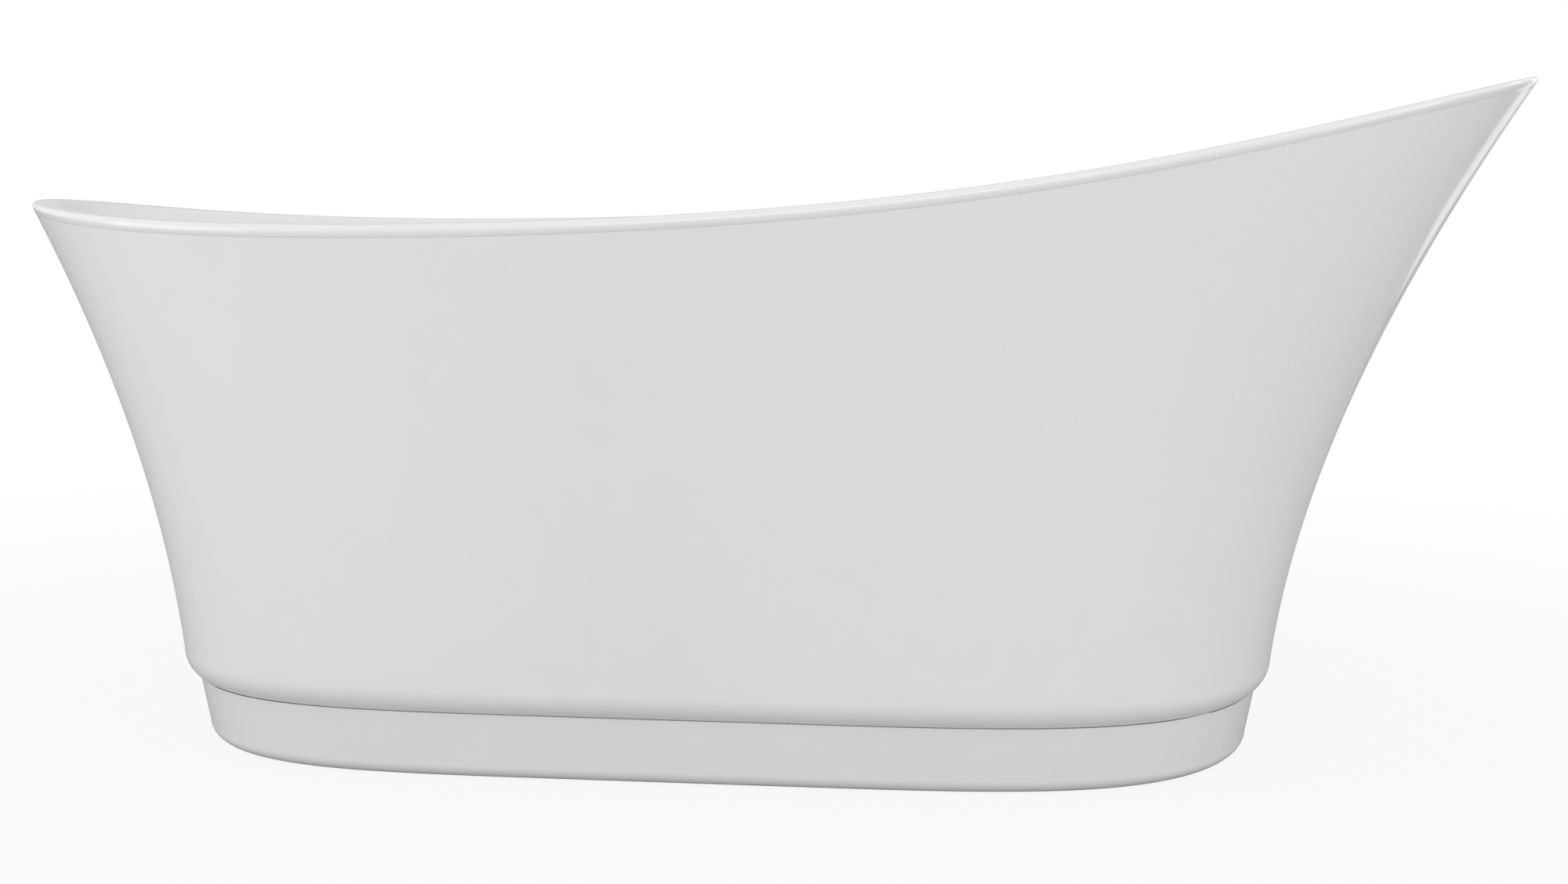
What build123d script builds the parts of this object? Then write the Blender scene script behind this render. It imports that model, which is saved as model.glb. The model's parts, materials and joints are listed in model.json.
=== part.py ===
from build123d import *
from math import comb, copysign, cos, pi, sin, sqrt
import os

os.makedirs("parts", exist_ok=True)

# Freestanding single-slipper bathtub. Millimetres, +Z up, origin at the middle of the
# footprint on the floor, +X towards the raised back-rest end, -X towards the drain end.

# Rim
HALF_LENGTH = 854.0
HALF_WIDTH = 401.0
RIM_FOOT_FULLNESS = 2.63
RIM_BACK_FULLNESS = 3.11
RIM_HEIGHTS = (603.0, 549.0, 609.0, 553.0, 678.0, 752.0)
RIM_LAND = 32.0
LIP_DEPTH = 14.0
RIM_ROLL = 9.0
EASE = 7.0
EASE_U = 0.993
SEAM = 0.3

# Outer wall where it meets the rounded lower edge
BASE_X = -40.0
BASE_HALF_LENGTH = 624.0
BASE_HALF_WIDTH = 345.0
BASE_FOOT_FULLNESS = 5.8
BASE_BACK_FULLNESS = 4.8
WALL_START = 102.0
EDGE_RADIUS = 32.0
BACK_BULGE = (0.095, 0.476)
FOOT_BULGE = (0.133, 0.487)
SIDE_BULGE = (0.193, 0.499)

# Plinth under the rounded edge
PLINTH_STEP = 16.0
PLINTH_DRAFT = 9.5
PLINTH_TUCK = 16.0
FLOOR_GAP = 2.0

# Sheet thicknesses
ACRYLIC = 4.0
SKIRT_LINER = 2.0
BASIN_LINER = 3.0

# Basin
FLOOR_Z = 122.0
FLOOR_X = -35.0
FLOOR_HALF_LENGTH = 465.0
FLOOR_HALF_WIDTH = 225.0
FLOOR_FOOT_FULLNESS = 2.9
FLOOR_BACK_FULLNESS = 2.7
BASIN_FLARE = ((0.0, 0.0), (0.2, 0.0), (0.3, 0.5), (1.0, 1.0))
DRAIN_X = -400.0
DISH_DEPTH = 3.0
OVERFLOW_U = 0.81

# Steel base frame and levelling feet
SECTION = 30.0
TUBE_WALL = 2.0
RAIL_Y = 185.0
RAIL_X = (-545.0, 480.0)
RAIL_Z = 70.0
CROSSBAR_Z = 40.0
CROSSBARS = {"foot": (-520.0, 225.0), "mid": (0.0, 303.0), "head": (440.0, 215.0)}
FEET = ((-520.0, -185.0), (-520.0, 185.0), (0.0, 0.0), (440.0, -185.0), (440.0, 185.0))
STUD_RADIUS = 6.0
NUT_ACROSS = 19.0
BOARD_SCREWS_X = (-440.0, -150.0, 150.0, 400.0)
CLEAT_SCREW_Y = 152.0

# Brackets from the frame to the plinth's blocks
FOOT_FACE = -625.0
HEAD_FACE = 545.0
SIDE_FACE = 306.0
SIDE_BOLT_Y = 275.0
BRACKET_BOLTS = ((-520.0, 0.0), (0.0, -275.0), (0.0, 275.0), (440.0, 0.0))
BLOCK_SCREWS = (-26.0, 26.0)

# Overflow hose, corners of its run between overflow and drain
HOSE_BENDS = ((-674.0, 0.0, 325.0), (-634.0, 0.0, 215.0), (-606.0, 0.0, 88.0))

RING_POINTS = 48


def save(name, shape):
    export_step(shape, f"parts/{name}.step")


def group(solids):
    return Compound([solid for shape in solids for solid in shape.solids()])


def block(low, high):
    """Box between two opposite corners."""
    size = [b - a for a, b in zip(low, high)]
    middle = [(a + b) / 2 for a, b in zip(low, high)]
    return Pos(*middle) * Box(*size)


def turned(profile):
    """Solid turned about Z from (radius, height) corners."""
    wire = Polyline(*[(r, 0, z) for r, z in profile], close=True)
    return revolve(make_face(wire), Axis.Z, 360)


def ring(outer, inner, low, high):
    return turned([(inner, low), (outer, low), (outer, high), (inner, high)])


def rod(radius, low, high):
    return Pos(0, 0, (low + high) / 2) * Cylinder(radius, high - low)


def hexagon(across, low, high):
    face = Pos(0, 0, low) * RegularPolygon(across / 2, 6, major_radius=False)
    return extrude(face, high - low)


# ---- curved shells ---------------------------------------------------------------


def rim_height(x):
    """Height of the rim's top along the tub, a quintic through its control heights."""
    t = (x + HALF_LENGTH) / (2 * HALF_LENGTH)
    n = len(RIM_HEIGHTS) - 1
    return sum(comb(n, i) * h * t**i * (1 - t) ** (n - i) for i, h in enumerate(RIM_HEIGHTS))


def plan_point(centre, half_length, half_width, foot, back, angle):
    """Point on a plan outline with straight sides and full, rounded ends."""
    across = cos(angle)
    power = back if across >= 0 else foot
    reach = half_width * sqrt(max(0.0, 1 - abs(across) ** power))
    return centre + half_length * across, copysign(reach, sin(angle))


def angles():
    return [2 * pi * i / RING_POINTS for i in range(RING_POINTS)]


def bulge(pair, s):
    """Share of the outward travel from base to rim reached at share s of the height."""
    return 3 * s * (1 - s) ** 2 * pair[0] + 3 * s * s * (1 - s) * pair[1] + s**3


def base_point(inset, angle):
    return plan_point(
        BASE_X,
        BASE_HALF_LENGTH - inset,
        BASE_HALF_WIDTH - inset,
        BASE_FOOT_FULLNESS,
        BASE_BACK_FULLNESS,
        angle,
    )


def rim_point(inset, angle):
    return plan_point(
        0.0,
        HALF_LENGTH - inset,
        HALF_WIDTH - inset,
        RIM_FOOT_FULLNESS,
        RIM_BACK_FULLNESS,
        angle,
    )


def wall_point(inset, angle, s):
    """Point on the outer wall at share s of the height."""
    base = base_point(inset, angle)
    rim = rim_point(inset, angle)
    height = rim_height(rim[0]) - WALL_START
    backward = (1 + cos(angle)) / 2
    along = bulge(BACK_BULGE, s) * backward + bulge(FOOT_BULGE, s) * (1 - backward)
    across = bulge(SIDE_BULGE, s)
    x = base[0] + (rim[0] - base[0]) * along
    y = base[1] + (rim[1] - base[1]) * across
    return x, y, WALL_START + height * s


def closed_spline(points):
    return Wire([Edge.make_spline([Vector(*p) for p in points], periodic=True)])


def level_ring(inset, z):
    return closed_spline([(*base_point(inset, a), z) for a in angles()])


def wall_ring(inset, s):
    return closed_spline([wall_point(inset, a, s) for a in angles()])


def lip_ring(inset, drop):
    """Ring on the wall's line, a fixed drop below the rim."""
    points = []
    for angle in angles():
        height = rim_height(rim_point(inset, angle)[0]) - WALL_START
        points.append(wall_point(inset, angle, 1 - drop / height))
    return closed_spline(points)


def skin(rings, ruled=False):
    return Shell.make_loft(rings, ruled).faces()


def solid_of(*skins):
    return Solid(Shell([face for faces in skins for face in faces]))


def edge_rings(inset):
    """Rings down the rounded lower edge, from the wall to where it turns level."""
    radius = EDGE_RADIUS - inset
    turns = [pi / 2 * step / 5 for step in range(6)]
    return [
        level_ring(EDGE_RADIUS - radius * cos(t), WALL_START - radius * sin(t)) for t in turns
    ]


def wall_skins(inset):
    """Lower edge, main wall and top strip of the body at one depth in the sheet."""
    edge = edge_rings(inset)
    main = [wall_ring(inset, s) for s in (0.0, 0.1, 0.25, 0.45, 0.65, 0.8, 0.92)]
    top = lip_ring(inset, LIP_DEPTH + SEAM)
    return skin(edge), skin(main), skin([main[-1], wall_ring(inset, 0.95), top]), edge[-1], top


def plinth_rings(inset):
    radius = PLINTH_TUCK - inset
    foot = FLOOR_GAP + PLINTH_TUCK
    shelf = WALL_START - EDGE_RADIUS
    rings = []
    for step in range(5):
        turn = pi / 2 * (1 - step / 4)
        away = PLINTH_STEP + PLINTH_DRAFT + PLINTH_TUCK - radius * cos(turn)
        rings.append(level_ring(away, foot - radius * sin(turn)))
    lean = PLINTH_DRAFT / (shelf - foot)
    into = (EDGE_RADIUS - PLINTH_STEP - inset) / EDGE_RADIUS
    top = WALL_START - EDGE_RADIUS * sqrt(1 - into**2) - SEAM
    rings.append(level_ring(PLINTH_STEP + inset - lean * (top - shelf), top))
    return rings


def basin_point(offset, angle, u):
    """Point on the basin wall at share u of its profile, offset outwards."""
    x0, y0 = plan_point(
        FLOOR_X,
        FLOOR_HALF_LENGTH + offset,
        FLOOR_HALF_WIDTH + offset,
        FLOOR_FOOT_FULLNESS,
        FLOOR_BACK_FULLNESS,
        angle,
    )
    x1, y1 = rim_point(RIM_LAND - offset, angle)
    z0 = FLOOR_Z - offset
    z1 = rim_height(x1)
    blend = [(1 - u) ** 3, 3 * u * (1 - u) ** 2, 3 * u * u * (1 - u), u**3]
    out = sum(w * p[0] for w, p in zip(blend, BASIN_FLARE))
    up = sum(w * p[1] for w, p in zip(blend, BASIN_FLARE))
    return x0 + (x1 - x0) * out, y0 + (y1 - y0) * out, z0 + (z1 - z0) * up


def basin_ring(offset, u):
    return closed_spline([basin_point(offset, a, u) for a in angles()])


def basin_rings(offset):
    shares = (0.0, 0.08, 0.16, 0.25, 0.35, 0.45, 0.55, 0.65, 0.75, 0.85, 0.95)
    return [basin_ring(offset, u) for u in shares]


def eased_ring(t):
    """Ring on the soft inner edge of the rim, from the land at 0 to the wall at 1."""
    points = []
    for angle in angles():
        x, y = rim_point(RIM_LAND - EASE, angle)
        land = Vector(x, y, rim_height(x))
        corner = Vector(*basin_point(0.0, angle, 1.0))
        wall = Vector(*basin_point(0.0, angle, EASE_U))
        points.append(tuple(land * (1 - t) ** 2 + corner * 2 * t * (1 - t) + wall * t**2))
    return closed_spline(points)


def rolled_rings():
    """Rings round the rim's outer edge, from the land down to the lip's wall."""
    turns = [pi / 2 * (1 - step / 5) for step in range(6)]
    return [lip_ring(RIM_ROLL * (1 - cos(t)), RIM_ROLL * (1 - sin(t))) for t in turns]


def dish(offset):
    """Shallow cone that falls to the drain."""
    cone = Solid.make_cone(36 + offset * 0.4, 90 + offset * 0.4, DISH_DEPTH + 0.3)
    return Pos(DRAIN_X, 0, FLOOR_Z - DISH_DEPTH - offset) * cone


# ---- overflow position: local +Z points out of the basin, local +X down the wall ----


def overflow_plane():
    here = Vector(*basin_point(0.0, pi, OVERFLOW_U))
    lower = Vector(*basin_point(0.0, pi, OVERFLOW_U - 0.01))
    down = (lower - here).normalized()
    out = down.cross(Vector(0, 1, 0)).normalized()
    if out.X > 0:
        out = out * -1
    return Plane(origin=here, x_dir=down, z_dir=out)


OVERFLOW = overflow_plane()
LINER_FACE = 7.2
OUTLET = LINER_FACE + 19.5


def make_outer_skirt(outer, inner):
    """Acrylic outer skin, its lower edge rolled in above the plinth."""
    foot = skin([outer[3], inner[3]], True)
    top = skin([outer[4], inner[4]], True)
    return solid_of(*outer[:3], *inner[:3], foot, top)


def make_skirt_backing(inner):
    """Glass-fibre liner bonded to the inside of the skirt."""
    depth = ACRYLIC + SKIRT_LINER
    rings = [wall_ring(depth, s) for s in (0.0, 0.1, 0.25, 0.45, 0.65, 0.8, 0.92)]
    foot = skin([wall_ring(ACRYLIC, 0.0), rings[0]], True)
    top = skin([wall_ring(ACRYLIC, 0.92), rings[-1]], True)
    return solid_of(inner[1], skin(rings), foot, top)


def make_plinth():
    """Drafted band that the body stands on, turned in along its foot."""
    outer = plinth_rings(0.0)
    inner = plinth_rings(ACRYLIC)
    foot = skin([outer[0], inner[0]], True)
    top = skin([outer[-1], inner[-1]], True)
    return solid_of(skin(outer, True), skin(inner, True), foot, top)


def make_inner_basin(under):
    """Acrylic basin and rim in one sheet, with a turned-down lip."""
    inside = basin_rings(0.0)
    easing = [eased_ring(t / 4) for t in range(5)]
    roll = rolled_rings()
    outside = basin_rings(ACRYLIC)
    lip_foot = lip_ring(0.0, LIP_DEPTH)
    lip_back = lip_ring(ACRYLIC, LIP_DEPTH)
    lip_root = lip_ring(ACRYLIC, ACRYLIC)
    land_root = basin_ring(ACRYLIC, 0.995)
    skins = [
        [Face(inside[0])],
        skin([*inside, easing[-1]]),
        skin(easing),
        skin([easing[0], roll[0]], True),
        skin(roll),
        skin([roll[-1], lip_foot], True),
        skin([lip_foot, lip_back], True),
        skin([lip_back, lip_root], True),
        skin([lip_root, land_root], True),
        skin([land_root, outside[-1]], True),
        under,
        [Face(outside[0])],
    ]
    sheet = solid_of(*skins)
    sheet = sheet + dish(ACRYLIC) - dish(0.0)
    sheet = sheet - Pos(DRAIN_X, 0, 0) * rod(23.0, 80, 200)
    seat = [(0, -30), (37, -30), (37, 0.8), (22, 0.8), (22, 30), (0, 30)]
    return sheet - OVERFLOW * turned(seat)


def make_basin_backing(under):
    """Glass-fibre liner under the basin, bored for drain and overflow."""
    inside = basin_rings(ACRYLIC)
    outside = basin_rings(ACRYLIC + BASIN_LINER)
    top = skin([inside[-1], outside[-1]], True)
    floors = [Face(inside[0])], [Face(outside[0])]
    liner = solid_of(under, skin(outside), top, *floors)
    liner = liner + dish(ACRYLIC + BASIN_LINER) - dish(ACRYLIC)
    liner = liner - Pos(DRAIN_X, 0, 0) * rod(23.0, 80, 200)
    return liner - OVERFLOW * rod(22.0, -30.0, 30.0)


def make_rim_bond():
    """Adhesive bead between the lip, the rim's underside and the skirt."""
    low, high = 26.0, ACRYLIC + SEAM
    near, far = ACRYLIC + SEAM, ACRYLIC + 7.0
    corners = [lip_ring(near, low), lip_ring(near, high), lip_ring(far, high), lip_ring(far, low)]
    sides = zip(corners, corners[1:] + corners[:1])
    return solid_of(*[skin([a, b], True) for a, b in sides])


# ---- base frame ------------------------------------------------------------------


def square_tube(length):
    """Square tube along X, centred."""
    outer = extrude(Plane.YZ * RectangleRounded(SECTION, SECTION, 4), length / 2, both=True)
    bore = SECTION - 2 * TUBE_WALL
    return outer - extrude(Plane.YZ * RectangleRounded(bore, bore, 2), length, both=True)


def make_rail(side):
    middle = (RAIL_X[0] + RAIL_X[1]) / 2
    rail = Pos(middle, side * RAIL_Y, RAIL_Z + SECTION / 2) * square_tube(RAIL_X[1] - RAIL_X[0])
    for x in BOARD_SCREWS_X:
        rail = rail - Pos(x, side * RAIL_Y, 0) * rod(2.0, 60, 110)
    for x, _ in CROSSBARS.values():
        low = side * (RAIL_Y - SECTION / 2 - 5)
        rail = rail - side_rod(2.0, x, low, low + side * 18, RAIL_Z + 17)
    return rail


def side_rod(radius, x, start, end, z):
    """Rod along Y."""
    bar = Rot(90, 0, 0) * Cylinder(radius, abs(end - start))
    return Pos(x, (start + end) / 2, z) * bar


def end_rod(radius, y, start, end, z):
    """Rod along X."""
    bar = Rot(0, 90, 0) * Cylinder(radius, abs(end - start))
    return Pos((start + end) / 2, y, z) * bar


def foot_places(x):
    return [y for at, y in FEET if at == x]


def make_crossbar(name):
    x, half = CROSSBARS[name]
    bar = Pos(x, 0, CROSSBAR_Z + SECTION / 2) * Rot(0, 0, 90) * square_tube(2 * half)
    for y in foot_places(x):
        bar = bar - Pos(x, y, 0) * rod(6.5, CROSSBAR_Z - 2, CROSSBAR_Z + 4)
    for side in (-1, 1):
        bar = bar - Pos(x, side * CLEAT_SCREW_Y, 0) * rod(2.0, 60, 80)
    for bx, by in BRACKET_BOLTS:
        bar = bar - Pos(bx, by, 0) * rod(4.0, CROSSBAR_Z - 2, CROSSBAR_Z + 4)
    return bar


def make_tube_end_caps():
    """Plastic plugs with a flat head in the open ends of the rails and crossbars."""
    plug = Pos(0, 0, 1.25) * extrude(RectangleRounded(SECTION, SECTION, 4), 1.25, both=True)
    bore = SECTION - 2 * TUBE_WALL - 0.4
    plug = plug + Pos(0, 0, -5) * extrude(RectangleRounded(bore, bore, 2), 5, both=True)
    caps = []
    for side in (-1, 1):
        for end, turn in zip(RAIL_X, (-90, 90)):
            caps.append(Pos(end, side * RAIL_Y, RAIL_Z + SECTION / 2) * Rot(0, turn, 0) * plug)
    for name in ("foot", "head"):
        x, half = CROSSBARS[name]
        for side in (-1, 1):
            at = Pos(x, side * half, CROSSBAR_Z + SECTION / 2)
            caps.append(at * Rot(-90 * side, 0, 0) * plug)
    return group(caps)


def make_cleats():
    """Angle plates in the corner between each rail and crossbar."""
    cleats = []
    for x, _ in CROSSBARS.values():
        for side in (-1, 1):
            face = RAIL_Y - SECTION / 2
            leg = block((x - 12, face - 30, RAIL_Z), (x + 12, face, RAIL_Z + 2.5))
            leg = leg + block((x - 12, face - 2.5, RAIL_Z), (x + 12, face, RAIL_Z + 27))
            leg = leg - Pos(x, CLEAT_SCREW_Y, 0) * rod(2.0, 60, 80)
            leg = leg - side_rod(2.0, x, face - 5, face + 5, RAIL_Z + 17)
            cleats.append(leg if side > 0 else mirror(leg, Plane.XZ))
    return group(cleats)


def screw(head, shank, length, height):
    """Domed screw, head above Z=0 and shank below."""
    profile = [(0, -length), (shank, -length + shank), (shank, 0), (head, 0)]
    profile += [(head, height * 0.45), (head * 0.7, height * 0.85), (0, height)]
    return turned(profile)


def make_frame_screws():
    screws = []
    for x, _ in CROSSBARS.values():
        for side in (-1, 1):
            up = screw(4.5, 2.0, 14, 3.0)
            screws.append(Pos(x, side * CLEAT_SCREW_Y, RAIL_Z + 2.5) * up)
            face = side * (RAIL_Y - SECTION / 2 - 2.5)
            at = Pos(x, face, RAIL_Z + 17)
            screws.append(at * Rot(90 * side, 0, 0) * screw(4.5, 2.0, 12, 3.0))
    return group(screws)


def make_base_board():
    """Plywood board on the rails, notched round the drain."""
    board = block((-480, -200, 100), (430, 200, 115))
    board = fillet(board.edges().filter_by(Axis.Z), 30)
    board = board - block((-490, -98, 95), (DRAIN_X, 98, 120))
    board = board - Pos(DRAIN_X, 0, 0) * rod(98, 95, 120)
    for x in BOARD_SCREWS_X:
        for side in (-1, 1):
            board = board - Pos(x, side * RAIL_Y, 0) * rod(2.0, 95, 109)
    return board


def make_board_screws():
    """Screws up through the rails into the board."""
    places = [Pos(x, side * RAIL_Y, RAIL_Z) for x in BOARD_SCREWS_X for side in (-1, 1)]
    return group([at * Rot(180, 0, 0) * screw(4.5, 2.0, 38.5, 3.0) for at in places])


def angle_bracket(reach, width, wing):
    """Angle: level leg along -X under a crossbar, upright leg at X=0 facing +X."""
    leg = block((-reach, -width / 2, CROSSBAR_Z - 3), (0, width / 2, CROSSBAR_Z))
    upright = block((-3, -wing / 2, CROSSBAR_Z - 3), (0, wing / 2, 66))
    return leg + upright


def wall_block(low, high):
    """Plywood block shaped to the inside of the plinth, with a thin glue line."""
    return block(low, high) & Solid.make_loft(plinth_rings(ACRYLIC + SEAM), ruled=True)


def make_end_bracket(sign, face, bolt):
    bar = angle_bracket(abs(face - bolt) + 13, 40, 64)
    bar = bar - Pos(bolt * sign - face * sign, 0, 0) * rod(4.0, 30, 45)
    for y in BLOCK_SCREWS:
        bar = bar - end_rod(2.0, y, -10, 10, 53)
    return Pos(face, 0, 0) * (bar if sign > 0 else Rot(0, 0, 180) * bar)


def make_side_bracket(side):
    bar = angle_bracket(50, 40, 80)
    bar = bar - Pos(SIDE_BOLT_Y - SIDE_FACE, 0, 0) * rod(4.0, 30, 45)
    for x in BLOCK_SCREWS:
        bar = bar - end_rod(2.0, x, -10, 10, 53)
    return Pos(0, side * SIDE_FACE, 0) * Rot(0, 0, 90 * side) * bar


def make_skirt_block(name):
    if name == "foot":
        shape = wall_block((FOOT_FACE - 40, -60, 22), (FOOT_FACE, 60, 66))
        holes = [end_rod(2.0, y, FOOT_FACE - 6, FOOT_FACE + 5, 53) for y in BLOCK_SCREWS]
    elif name == "head":
        shape = wall_block((HEAD_FACE, -60, 22), (HEAD_FACE + 40, 60, 66))
        holes = [end_rod(2.0, y, HEAD_FACE - 5, HEAD_FACE + 6, 53) for y in BLOCK_SCREWS]
    else:
        side = 1 if name == "left" else -1
        ys = sorted((side * SIDE_FACE, side * (SIDE_FACE + 40)))
        shape = wall_block((-60, ys[0], 22), (60, ys[1], 66))
        start, end = side * (SIDE_FACE - 5), side * (SIDE_FACE + 6)
        holes = [side_rod(2.0, x, start, end, 53) for x in BLOCK_SCREWS]
    for hole in holes:
        shape = shape - hole
    return shape


def make_bracket_bolts():
    """Hexagon bolts up through the brackets into the crossbars."""
    bolts = []
    for x, y in BRACKET_BOLTS:
        bolt = hexagon(13, CROSSBAR_Z - 8.3, CROSSBAR_Z - 3) + rod(4.0, CROSSBAR_Z - 4, 52)
        bolts.append(Pos(x, y, 0) * bolt)
    return group(bolts)


def make_block_screws():
    """Screws through the upright legs of the brackets into the blocks."""
    one = screw(4.5, 2.0, 8.5, 3.0)
    turns = [(FOOT_FACE + 3, "x", 90), (HEAD_FACE - 3, "x", -90)]
    screws = []
    for y in BLOCK_SCREWS:
        for x, _, turn in turns:
            screws.append(Pos(x, y, 53) * Rot(0, turn, 0) * one)
    for x in BLOCK_SCREWS:
        for side in (-1, 1):
            screws.append(Pos(x, side * (SIDE_FACE - 3), 53) * Rot(90 * side, 0, 0) * one)
    return group(screws)


# ---- levelling feet --------------------------------------------------------------


def make_nuts(low, high):
    nut = hexagon(NUT_ACROSS, low, high) - rod(STUD_RADIUS + 0.08, low - 1, high + 1)
    return group([Pos(x, y, 0) * nut for x, y in FEET])


def make_stud():
    """Threaded stud with a hexagon to turn it by, its end in the pad's socket."""
    shank = rod(STUD_RADIUS, 5.8, 65.5)
    shank = chamfer(shank.edges().sort_by(Axis.Z)[-1], 1.2)
    return shank + hexagon(NUT_ACROSS, 15.2, 21.2)


def make_pad():
    profile = [(0, 0), (24, 0), (25, 1), (25, 3.5), (13, 10.5), (10.5, 14)]
    return turned(profile + [(6.3, 14), (6.3, 5.5), (0, 5.5)])


# ---- drain -----------------------------------------------------------------------


def at_drain(shape):
    return Pos(DRAIN_X, 0, 0) * shape


def make_drain_flange():
    """Flange with a tapered seat, a threaded tail and a cross that holds the plug."""
    profile = [(19, 96), (22.5, 96), (22.5, 120.2), (34.2, 120.2), (35, 121)]
    body = turned(profile + [(34, 122.2), (24, 122.2), (19, 117)])
    cross = block((-19.5, -1.5, 98), (19.5, 1.5, 102))
    cross = cross + block((-1.5, -19.5, 98), (1.5, 19.5, 102)) + rod(7, 98, 102)
    return at_drain(body + cross - rod(4.0, 90, 110))


def make_waste_body():
    """Moulded body: flange under the basin, side port for the overflow, outlet below."""
    body = turned([(0, 46), (24, 46), (24, 60), (28, 62), (28, 101), (32, 104), (32, 108), (0, 108)])
    body = body + end_rod(17, 0, -58, -22, 88) + end_rod(13.4, 0, -80, -57, 88)
    for x in (-76, -69, -62):
        body = body + end_rod(13.8, 0, x - 1, x + 1, 88)
    bore = [(0, 40), (19.3, 40), (19.3, 62), (20, 62), (20, 84), (22.6, 84), (22.6, 112), (0, 112)]
    body = body - turned(bore)
    return at_drain(body - end_rod(11, 0, -90, -15, 88))


def make_tailpiece():
    pipe = [(17.4, 8), (19.05, 8), (19.05, 36)]
    stop_bead = [(20.2, 37), (20.2, 37.6), (19.05, 38.4)]
    return at_drain(turned(pipe + stop_bead + [(19.05, 61.5), (17.4, 61.5)]))


def make_tailpiece_nut():
    grip = rod(29, 39, 56)
    for step in range(12):
        grip = grip - Rot(0, 0, 30 * step) * Pos(31.5, 0, 0) * rod(4.2, 38, 57)
    return at_drain(grip - rod(19.4, 38, 57) - rod(24.05, 42, 57))


def make_plug_cap():
    profile = [(0, 122.5), (30.4, 122.5), (31, 123.1), (30.6, 124.6), (28, 126.4)]
    return at_drain(turned(profile + [(22, 127.7), (12, 128.6), (0, 128.9)]))


def make_plug_seal():
    return at_drain(turned([(12, 118.8), (20.1, 118.8), (23.3, 122.5), (12, 122.5)]))


def make_plug_sleeve():
    cup = turned([(4, 92), (4, 102), (8, 102), (8, 117), (6.3, 117), (6.3, 104), (2.6, 104), (2.6, 92)])
    return at_drain(cup)


def make_plug_spindle():
    profile = [(0, 89), (2.0, 89), (2.5, 89.6), (2.5, 119.5), (6, 119.5), (6, 122.5), (0, 122.5)]
    return at_drain(turned(profile))


def make_plug_spring():
    turns = 4
    low, high = 104.7, 118.8
    path = Edge.make_helix(pitch=(high - low) / turns, height=high - low, radius=4.4)
    wire = Plane(origin=path @ 0, z_dir=path % 0) * Circle(0.6)
    coil = sweep(wire, path)
    return Pos(DRAIN_X, 0, low) * coil


# ---- overflow --------------------------------------------------------------------


def across_rod(radius, start, end, at):
    """Rod along the overflow's local X."""
    bar = Rot(0, 90, 0) * Cylinder(radius, end - start)
    return Pos((start + end) / 2, 0, at) * bar


def make_overflow_cover():
    """Domed cap over the overflow, with a mouth at its underside."""
    dome = [(0, -13), (20, -12.6), (31, -11), (35.5, -8.4), (35.5, 0.4), (33.3, 0.4)]
    dome += [(33.3, -8), (29.5, -9.4), (19, -10.8), (0, -11.2)]
    mouth = block((20, -14, -9), (40, 14, -1))
    return OVERFLOW * (turned(dome) - mouth)


def make_overflow_plate():
    plate = ring(32.9, 3.1, -1.4, 0.8)
    for step in range(6):
        plate = plate - Rot(0, 0, 60 * step) * Pos(13, 0, 0) * rod(5, -3, 3)
    return OVERFLOW * plate


def make_overflow_screw():
    return OVERFLOW * Rot(180, 0, 0) * Pos(0, 0, 1.4) * screw(6.5, 3.0, 29, 4.0)


def make_overflow_seal():
    return OVERFLOW * ring(31, 22.6, LINER_FACE, LINER_FACE + 3)


def make_overflow_elbow():
    """Moulded body clamped behind the wall, its hose tail pointing down the wall."""
    foot = LINER_FACE + 3
    body = rod(31, foot, foot + 4) + rod(24, foot + 3, OUTLET + 16.5)
    body = body + across_rod(16.2, 10, 36, OUTLET) + across_rod(13.4, 35, 48, OUTLET)
    for x in (40, 45):
        body = body + across_rod(13.8, x - 1, x + 1, OUTLET)
    body = body - rod(20, foot - 5, OUTLET + 13.5)
    body = body - across_rod(11, 14, 70, OUTLET)
    body = body + block((-2, -21, foot + 1), (2, 21, foot + 15)) + rod(5.5, foot + 1, foot + 17)
    return OVERFLOW * (body - rod(3.0, 0, 27.5))


def hose_path():
    """Held run of the hose, from the overflow down and round to the drain's side port."""
    start = Vector(*(OVERFLOW.origin + OVERFLOW.z_dir * OUTLET + OVERFLOW.x_dir * 36.3))
    first = start + OVERFLOW.x_dir * 16
    points = [start, first, *[Vector(*p) for p in HOSE_BENDS], Vector(DRAIN_X - 58.3, 0, 88)]
    return FilletPolyline(*points, radius=38)


def make_overflow_hose():
    path = hose_path()
    at = Plane(origin=path @ 0, z_dir=path % 0)
    return sweep(at * Circle(16.2), path) - sweep(at * Circle(14.0), path)


def worm_clip():
    """Band with its screw housing, axis along Z, middle at Z=0."""
    band = ring(17.4, 16.5, -5, 5) + block((-7, 17, -5.5), (7, 24, 5.5))
    return band - rod(16.5, -10, 10)


def make_hose_clips():
    path = hose_path()
    clips = []
    for at in (0.012, 0.988):
        along = path % at
        across = along.cross(Vector(0, 1, 0))
        clips.append(Plane(origin=path @ at, x_dir=across, z_dir=along) * worm_clip())
    return group(clips)


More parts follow.
